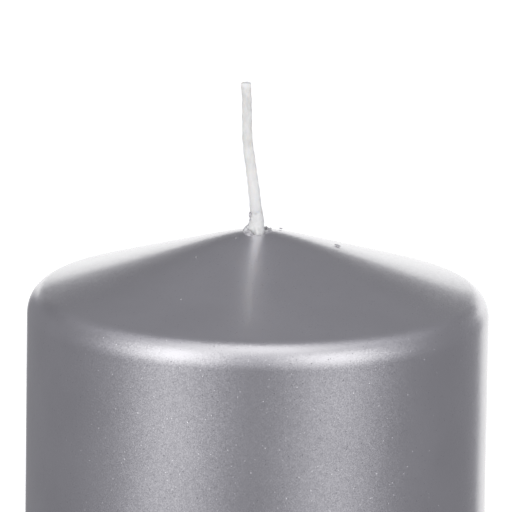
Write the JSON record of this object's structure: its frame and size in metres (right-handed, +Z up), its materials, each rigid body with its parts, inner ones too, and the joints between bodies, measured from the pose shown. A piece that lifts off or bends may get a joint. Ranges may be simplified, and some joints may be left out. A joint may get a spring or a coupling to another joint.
{
  "type": "pillar candle",
  "caption": "Free-standing pillar candle: straight round wall, rounded shoulder, low conical top with an exposed wick, and a metallic lacquer over wax.",
  "frame": {"origin": "middle of the flat base, on the surface that the candle stands on", "axes": "+Z up along the candle; the exposed wick leans towards -X; the pictured side faces -Y"},
  "size_m": [0.07, 0.07, 0.123],
  "materials": {
    "pressed_wax": "pressed paraffin granules, off-white, dull",
    "hard_wax": "hard dipping wax, smooth, slightly translucent",
    "lacquer": "silver metallic flake lacquer, satin",
    "wick_cotton": "plaited cotton, primed with clear wax",
    "clip_steel": "tinned steel sheet, stamped",
    "clear_wax": "white wax, smooth",
    "lacquer_chips": "broken lacquer film, pale and dark sides"
  },
  "bodies": {
    "root": {"wax_core": "pressed_wax", "overdip_wax": "hard_wax", "silver_lacquer": "lacquer", "wick": "wick_cotton", "wick_clip": "clip_steel", "root_wax": "clear_wax", "torn_lacquer_rim": "lacquer_chips", "lacquer_crumbs": "lacquer_chips"}
  },
  "joints": []
}
